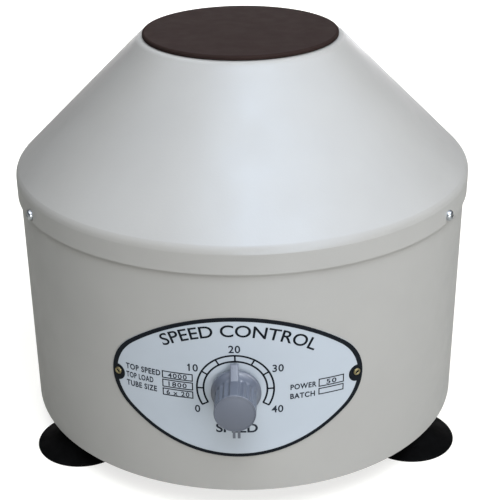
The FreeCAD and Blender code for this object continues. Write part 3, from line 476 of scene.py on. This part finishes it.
# ---- printing on the panel ---------------------------------------------
class Ink:
    """Flat shapes in developed panel millimetres: s along the curve, z up."""

    def __init__(self):
        self.builder = bmesh.new()

    def mesh(self, points, faces):
        made = [self.builder.verts.new((s, z, 0)) for s, z in points]
        for face in faces:
            self.builder.faces.new([made[index] for index in face])

    def band(self, outer, inner, closed=True):
        """Strip of quads between two equally long rows of points."""
        count = len(outer)
        faces = []
        for index in range(count if closed else count - 1):
            ahead = (index + 1) % count
            faces.append((index, ahead, count + ahead, count + index))
        self.mesh(list(outer) + list(inner), faces)

    def bar(self, start, end, width, pieces=1):
        """Straight stroke between two points."""
        line = Vector(end) - Vector(start)
        aside = Vector((-line.y, line.x)).normalized() * width / 2
        run = [Vector(start) + line * index / pieces for index in range(pieces + 1)]
        self.band([tuple(p + aside) for p in run], [tuple(p - aside) for p in run], closed=False)

    def frame(self, left, right, low, high, width):
        """Outline of a box, its long sides cut up to follow the curve."""
        cuts = 8
        across = [left + (right - left) * index / cuts for index in range(cuts + 1)]
        outer = [(s, high) for s in across] + [(s, low) for s in reversed(across)]
        squeeze = (right - left - 2 * width) / (right - left)
        inner_s = [(left + right) / 2 + (s - (left + right) / 2) * squeeze for s in across]
        inner = [(s, high - width) for s in inner_s] + [(s, low + width) for s in reversed(inner_s)]
        self.band(outer, inner)

    def word(self, text, cap, place, width=None, bold=0.0, gap=1.0):
        """Lettering centred on a point, or bent round an arc when place is a function."""
        points, faces = letters(text, bold, gap)
        low_x = min(x for x, y in points)
        high_x = max(x for x, y in points)
        centre_x = (low_x + high_x) / 2
        rise = cap / CAP_UNITS
        stretch = width / (high_x - low_x) if width else rise
        flat = []
        for x, y in points:
            s, z = (x - centre_x) * stretch, (y - CAP_UNITS / 2) * rise
            flat.append(place(s, z) if callable(place) else (place[0] + s, place[1] + z))
        self.mesh(flat, faces)

    def wrap(self, name, material, low=-0.03, high=0.05):
        """Thicken the shapes, roll them round the drum and make them one piece."""
        builder = self.builder
        bmesh.ops.remove_doubles(builder, verts=builder.verts, dist=1e-4)
        kept = builder.faces[:]
        lifted = bmesh.ops.extrude_face_region(builder, geom=kept, use_keep_orig=True)["geom"]
        raised = {vert for vert in lifted if isinstance(vert, bmesh.types.BMVert)}
        for vert in builder.verts:
            radius = PANEL_R + (high if vert in raised else low)
            angle = vert.co.x / PANEL_R
            vert.co = (radius * math.sin(angle), -radius * math.cos(angle), vert.co.y)
        return new_piece(name, builder, material, "housing", smooth=False)


# Height of a capital in the font's own units.
CAP_UNITS = 0.729


def letters(text, bold, gap):
    """Filled outlines of a line of text as flat points and faces, in the font's units."""
    curve = bpy.data.curves.new("letters", "FONT")
    curve.body = text
    curve.offset = bold
    curve.space_character = gap
    curve.resolution_u = 5
    holder = bpy.data.objects.new("letters", curve)
    bpy.context.scene.collection.objects.link(holder)
    bpy.context.view_layer.update()
    graph = bpy.context.evaluated_depsgraph_get()
    mesh = bpy.data.meshes.new_from_object(holder.evaluated_get(graph))
    points = [(vert.co.x, vert.co.y) for vert in mesh.vertices]
    faces = [tuple(polygon.vertices) for polygon in mesh.polygons]
    bpy.data.objects.remove(holder)
    bpy.data.curves.remove(curve)
    bpy.data.meshes.remove(mesh)
    return points, faces


# The rounded ends (x, z, radius), then the heights of the centres of the top and
# bottom arcs, for the panel's edge and for the inner edge of its printed border.
PLATE_EDGE = (38.8, 81.2, 27.45, 32.6, 120.8)
BORDER_INSIDE = (37.95, 81.1, 25.85, 33.7, 120.12)
PLATE_THICK = 0.5


def plate_loop(shape, grow=0.0, steps=40):
    """Eye-shaped outline as (s, z) points in order."""
    end_x, end_z, end_r, top_z, bottom_z = shape
    top_reach = math.hypot(end_x, end_z - top_z)
    bottom_reach = math.hypot(end_x, bottom_z - end_z)
    top_lean = math.atan2(end_x, end_z - top_z)
    bottom_lean = math.atan2(end_x, bottom_z - end_z)
    end_r += grow
    loop = []

    def arc(centre_x, centre_z, radius, start, end):
        for step in range(steps):
            angle = start + (end - start) * step / steps
            x = centre_x + radius * math.sin(angle)
            loop.append((PANEL_R * math.asin(x / PANEL_R), centre_z + radius * math.cos(angle)))

    arc(0, top_z, top_reach + end_r, -top_lean, top_lean)
    arc(end_x, end_z, end_r, top_lean, math.pi - bottom_lean)
    arc(0, bottom_z, bottom_reach + end_r, math.pi - bottom_lean, math.pi + bottom_lean)
    arc(-end_x, end_z, end_r, math.pi + bottom_lean, 2 * math.pi - top_lean)
    return loop


def inside_plate(s, z, margin):
    """Pull a point near a rounded end back inside the panel's edge."""
    end_x, end_z, end_r = PLATE_EDGE[:3]
    x = PANEL_R * math.sin(s / PANEL_R)
    side = math.copysign(1, x)
    away = Vector((x - side * end_x, z - end_z))
    if away.length > end_r - margin:
        away *= (end_r - margin) / away.length
    return PANEL_R * math.asin((side * end_x + away.x) / PANEL_R), end_z + away.y


# Millimetres on the developed panel: s along the curve, z up.
SURROUND_S, SURROUND_Z, SURROUND_R = 66.5, 80.7, 4.95
SURROUND_SHIFT = -0.4
DIAL_S = -0.5
DIAL_REACH = math.radians(120)
DIAL_RINGS, DIAL_LINE = (20.15, 16.65), 1.0
TICKS, TICK_FROM, TICK_TO, TICK_LINE = 8, 16.4, 20.4, 0.9
NUMBER_CAP = 4.4
NUMBERS = (("0", -20.4, 67.3), ("10", -22.1, 92.1), ("20", -0.5, 104.2),
           ("30", 22.0, 92.2), ("40", 21.7, 67.35))
# The slanted flag of the figure 1, from end to end, and its line.
FLAG = ((-25.45, 92.9), (-24.2, 93.8), 0.62)
# Radius and centre of the title's arc, and how far the title sits round it.
TITLE_R, TITLE_Z, TITLE_S, TITLE_SHIFT = 87.4, 27.5, -1.4, 3.2
TITLE_CAP, TITLE_WIDTH = 7.0, 85.0
LEGEND_CAP, LEGEND_WIDTH, LEGEND_Z = 5.5, 22.1, 56.2
# Text, left, right, middle height and height of a capital.
WORDS = (("TOP SPEED", -61.0, -40.5, 86.1, 3.4),
         ("TOP LOAD", -61.0, -44.7, 81.0, 3.4),
         ("TUBE SIZE", -61.0, -42.9, 75.9, 3.4),
         ("POWER", 28.3, 42.5, 79.7, 3.2),
         ("BATCH", 28.2, 41.7, 74.1, 3.2))
# Left, right, bottom, top, then the value and its width.
BOX_LINE, VALUE_CAP = 0.6, 2.8
BOXES = ((-39.6, -22.7, 83.4, 87.9, "4000", 10.4),
         (-39.6, -22.7, 78.0, 82.8, "1800", 10.0),
         (-39.6, -22.7, 72.95, 77.4, "6 x 20", 12.6),
         (43.6, 58.2, 77.4, 82.3, "50", 5.8),
         (43.6, 58.1, 72.6, 76.6, "", 0.0))
# Side edges of the two grey bars under the knob, then their bottom and top.
MARKS = ((-2.3, -0.8), (0.35, 1.85))
MARK_LOW, MARK_HIGH = 49.6, 59.0


def print_frame(ink):
    """Border round the panel, and the round surrounds of its two pins."""
    border = Ink()
    border.band(plate_loop(PLATE_EDGE, 0.06), plate_loop(BORDER_INSIDE))
    border.wrap("print_border", ink, -PLATE_THICK - 0.02, 0.05)

    surrounds = Ink()
    count = 48
    for side in (-1, 1):
        s, z = side * SURROUND_S + SURROUND_SHIFT, SURROUND_Z
        rim = []
        for step in range(count):
            angle = 2 * math.pi * step / count
            rim.append(inside_plate(s + SURROUND_R * math.cos(angle),
                                    z + SURROUND_R * math.sin(angle), 0.1))
        wedges = [(0, 1 + step, 1 + (step + 1) % count) for step in range(count)]
        surrounds.mesh([(s, z)] + rim, wedges)
    surrounds.wrap("print_screw_surrounds", ink, -0.03, 0.07)


def dial_row(radius, rows=96):
    """Points along an arc of the dial."""
    row = []
    for step in range(rows + 1):
        angle = -DIAL_REACH + 2 * DIAL_REACH * step / rows
        row.append((DIAL_S + radius * math.sin(angle), DIAL_Z + radius * math.cos(angle)))
    return row


def print_dial(ink, pale_ink):
    """Ringed scale with its ticks and numbers."""
    dial = Ink()
    for radius in DIAL_RINGS:
        dial.band(dial_row(radius + DIAL_LINE / 2), dial_row(radius - DIAL_LINE / 2),
                  closed=False)
    middle = Vector((DIAL_S, DIAL_Z))
    for step in range(TICKS + 1):
        angle = -DIAL_REACH + 2 * DIAL_REACH * step / TICKS
        out = Vector((math.sin(angle), math.cos(angle)))
        dial.bar(tuple(middle + out * TICK_FROM), tuple(middle + out * TICK_TO), TICK_LINE)
    dial.wrap("print_dial", ink)

    numbers = Ink()
    for text, s, z in NUMBERS:
        numbers.word(text, NUMBER_CAP, (s + DIAL_S / 2, z), bold=0.018, gap=1.08)
    numbers.bar(*FLAG)
    numbers.wrap("print_numbers", pale_ink)


def bend_title(s, z):
    """Bend a straight line of lettering round the title's arc."""
    angle = (s + TITLE_SHIFT) / TITLE_R
    return (TITLE_S + (TITLE_R + z) * math.sin(angle),
            TITLE_Z + (TITLE_R + z) * math.cos(angle))


def print_titles(ink, pale_ink):
    """Generic title over the dial, and the legend under it."""
    title = Ink()
    title.word("SPEED CONTROL", TITLE_CAP, bend_title, width=TITLE_WIDTH, bold=0.011)
    title.wrap("print_title", ink)

    legend = Ink()
    legend.word("SPEED", LEGEND_CAP, (0, LEGEND_Z), width=LEGEND_WIDTH, bold=0.024)
    legend.wrap("print_legend", pale_ink)


def print_rows(ink, pale_ink):
    """Rows of small generic words with framed value boxes beside them."""
    words = Ink()
    for text, left, right, z, cap in WORDS:
        words.word(text, cap, ((left + right) / 2, z), width=right - left, bold=0.03, gap=1.12)
    words.wrap("print_words", pale_ink)

    boxes, values = Ink(), Ink()
    for left, right, low, high, text, width in BOXES:
        boxes.frame(left, right, low, high, BOX_LINE)
        if text:
            middle = ((left + right) / 2, (low + high) / 2)
            values.word(text, VALUE_CAP, middle, width=width, bold=0.02, gap=1.2)
    boxes.wrap("print_boxes", ink)
    values.wrap("print_values", pale_ink)


def grey_bars(ink):
    """Two short grey bars on the panel under the knob."""
    marks = Ink()
    for left, right in MARKS:
        middle = (left + right) / 2
        marks.bar((middle, MARK_LOW), (middle, MARK_HIGH), right - left)
    marks.wrap("grey_bars", ink, -0.03, 0.09)


# ---- the knob ----------------------------------------------------------
SKIRT_R, BARREL_R = 13.1, 10.75
# The skirt's clearance from the panel, and how far it flares along the knob.
SKIRT_GAP, SKIRT_LONG = 0.8, 6.6
FLUTES, FLUTE_DEEP = 20, 0.8
FACE_R, FACE_CROWN = 10.1, 0.9
# Depth of the face's recess, and the bore behind it.
RECESS, BORE_R = 0.9, 6.0
POINTER_HALF, POINTER_CROWN = 2.1, 0.28
KNOB_REST = math.radians(2.5)


def face_panel(builder):
    """Stand a shape drawn round Z on the panel: its top to the front, its +Y up."""
    stand = Matrix.Rotation(math.radians(90), 4, "X") @ Matrix.Rotation(KNOB_REST, 4, "Z")
    place = Matrix.Translation((0, 0, DIAL_Z)) @ stand
    bmesh.ops.transform(builder, matrix=place, verts=builder.verts)


def skirt_flare(low, waist, steps=8):
    """Hollow curve from the skirt's rim up to the barrel."""
    foot = Vector((SKIRT_R - 0.5, low + 1.9))
    bend = Vector((11.3, low + 3.0))
    top = Vector((BARREL_R + 0.2, waist))
    flare = []
    for step in range(steps + 1):
        share = step / steps
        point = foot.lerp(bend, share).lerp(bend.lerp(top, share), share)
        flare.append((point.x, point.y, 0))
    return flare


def cut_barrel(profile, longest=0.8, pitch=0.45):
    """Cut the long runs of the barrel's outside short enough for the flutes to bend."""
    fine = []
    for index, (radius, height) in enumerate(profile):
        after = profile[(index + 1) % len(profile)]
        fine.append((radius, height))
        gap = math.hypot(after[0] - radius, after[1] - height)
        outside = min(radius, after[0]) > BARREL_R - 0.1
        if outside and gap > longest:
            cuts = int(gap / pitch)
            for cut in range(1, cuts):
                share = cut / cuts
                fine.append((radius + (after[0] - radius) * share,
                             height + (after[1] - height) * share))
    return fine


def flute(radius, angle, height):
    """Grooves along the barrel, one of them under the pointer, fading at both ends."""
    waist = KNOB_BACK + SKIRT_LONG
    if radius < BARREL_R - 0.3 or height < waist:
        return radius
    rise = min(1.0, (height - waist) / 1.2)
    fall = min(1.0, max(0.0, KNOB_FRONT - 0.9 - height))
    wave = 0.5 - 0.5 * math.cos(FLUTES * (angle - math.pi / 2))
    depth = FLUTE_DEEP * (1 - wave) ** 0.8
    return radius - depth * math.sin(rise * math.pi / 2) * math.sin(fall * math.pi / 2)


def knob_grip(material):
    """Skirt and fluted barrel with a recess for the face disc."""
    front = KNOB_FRONT
    low = KNOB_BACK + SKIRT_GAP
    skirt = [(BORE_R, low, 0), (SKIRT_R, low, 0.35), (SKIRT_R, low + 1.6, 0.5)]
    rim = [(BARREL_R, front, 0.4), (FACE_R + 0.06, front, 0.08),
           (FACE_R + 0.06, front - RECESS, 0), (BORE_R, front - RECESS, 0)]
    profile = rounded(skirt + skirt_flare(low, KNOB_BACK + SKIRT_LONG) + rim, 7)
    builder = bmesh.new()
    lathe(builder, cut_barrel(profile), FLUTES * 20, flute)
    face_panel(builder)
    piece = new_piece("knob_grip", builder, material, "knob")
    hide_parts("knob")
    return piece


def knob_face(material):
    """Slightly domed face disc set just inside the front rim."""
    front = KNOB_FRONT
    rings = 10
    back, edge = front - 1.2, front - 0.1
    profile = rounded([(0.0, back, 0), (FACE_R, back, 0), (FACE_R, edge, 0.12),
                       (FACE_R - 0.3, edge, 0)], 5)
    for ring in range(1, rings + 1):
        share = 1 - ring / rings
        profile.append((share * (FACE_R - 0.3), edge + FACE_CROWN * (1 - share ** 2.4)))
    builder = bmesh.new()
    lathe(builder, profile, 128)
    face_panel(builder)
    piece = new_piece("knob_face", builder, material, "knob")
    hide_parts("knob_cap")
    return piece


def knob_pointer(material):
    """Pointer rib: from the skirt's edge up its slope, then along the barrel."""
    back, front = KNOB_BACK, KNOB_FRONT
    side = rounded([(9.4, back + 0.05, 0), (16.4, back + 0.05, 0.2),
                    (16.4, back + 0.85, 0.35), (11.15, back + 8.9, 1.5),
                    (10.85, front - 0.35, 0.3), (9.4, front - 0.35, 0)], 5)
    half, crown = POINTER_HALF, POINTER_CROWN
    builder = bmesh.new()
    stations = ((-half, crown), (-half + 0.22, 0.08), (-half * 0.4, 0.0), (half * 0.4, 0.0),
                (half - 0.22, 0.08), (half, crown))
    rows = []
    for across, drop in stations:
        row = []
        for out, height in side:
            lower = drop if out > 9.6 else 0.0
            row.append(builder.verts.new((across, out - lower, height)))
        rows.append(row)
    for row, after in zip(rows, rows[1:]):
        for index in range(len(row)):
            ahead = (index + 1) % len(row)
            builder.faces.new((row[index], row[ahead], after[ahead], after[index]))
    builder.faces.new(rows[0])
    builder.faces.new(rows[-1])
    face_panel(builder)
    return new_piece("knob_pointer", builder, material, "knob", smooth=False)


# ---- the panel's pins --------------------------------------------------
# Each pin's place round the drum in degrees, its height, and its head.
PIN_AZ, PIN_Z = 28.9, 81.6
PIN_R, PIN_HIGH = 2.0, 0.85
# Half the slot's length and width, the circle it is drawn from, and where the
# head stops following it; then how far each slot is turned.
SLOT_LONG, SLOT_SHORT = 1.15, 0.6
SLOT_R, SLOT_FADE = 0.7, 1.6
SLOT_TURN = {-1: math.radians(-45), 1: math.radians(38)}


def slot_oval(radius, angle):
    """Pull a circle near the slot into the slot's oval."""
    edge = 1 / math.hypot(math.cos(angle) / SLOT_LONG, math.sin(angle) / SLOT_SHORT)
    share = min(1.0, max(0.0, (SLOT_FADE - radius) / (SLOT_FADE - SLOT_R)))
    return radius + (edge - SLOT_R) * share


def add_turned(whole, profile, swell, place):
    """Turn a profile, set it in its place and add it to a larger bmesh."""
    part = bmesh.new()
    lathe(part, profile, 64, swell)
    bmesh.ops.transform(part, matrix=place, verts=part.verts)
    loose = bpy.data.meshes.new("loose")
    part.to_mesh(loose)
    part.free()
    whole.from_mesh(loose)
    bpy.data.meshes.remove(loose)


def panel_pins(brass, shadow):
    """Round pin heads with a rolled rim, and a dark disc deep in each oval slot: painted shade in
    the recess.
    """
    head = rounded([(SLOT_R, 0, 0), (PIN_R, 0, 0), (PIN_R, PIN_HIGH, 0.5),
                    (SLOT_R, PIN_HIGH, 0.3)], 7)
    # The dark discs in the slots are painted shade, not parts of the pins.
    bottom = [(0, 0.02), (SLOT_R, 0.02), (SLOT_R, 0.6), (0, 0.6)]
    heads, slot_shadows = bmesh.new(), bmesh.new()
    for side, turn in SLOT_TURN.items():
        place = (Matrix.Rotation(math.radians(side * PIN_AZ), 4, "Z")
                 @ Matrix.Translation((0, 0, PIN_Z))
                 @ Matrix.Rotation(math.radians(90), 4, "X")
                 @ Matrix.Translation((0, 0, PANEL_R + 0.08)))
        add_turned(heads, head,
                   lambda radius, angle, height: slot_oval(radius, angle - turn), place)
        add_turned(slot_shadows, bottom,
                   lambda radius, angle, height: radius and slot_oval(SLOT_R, angle - turn), place)
    piece = new_piece("panel_pins", heads, brass, "housing")
    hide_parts("plate_screws")
    # Painted shade: dark discs standing in for the shadow inside each slot.
    new_piece("pin_slot_shadows", slot_shadows, shadow, "housing", smooth=False)


# ---- put it together ---------------------------------------------------
add_camera()
add_studio()
materials = make_materials()
dress_nodes(materials)
black_ink = printing_ink("black_ink", (0.0035, 0.0055, 0.009), 0.12)
pale_ink = printing_ink("pale_ink", (0.016, 0.021, 0.031), 0.12)
# Grey for the two bars on the panel under the knob.
bar_grey = printing_ink("bar_grey", (0.12, 0.13, 0.16), 0.3)
print_frame(black_ink)
print_dial(black_ink, pale_ink)
print_titles(black_ink, pale_ink)
print_rows(black_ink, pale_ink)
grey_bars(bar_grey)
knob_grip(materials["knob_grey"])
knob_face(materials["knob_grey"])
knob_pointer(materials["knob_grey"])
panel_pins(materials["screw_brass"], black_ink)
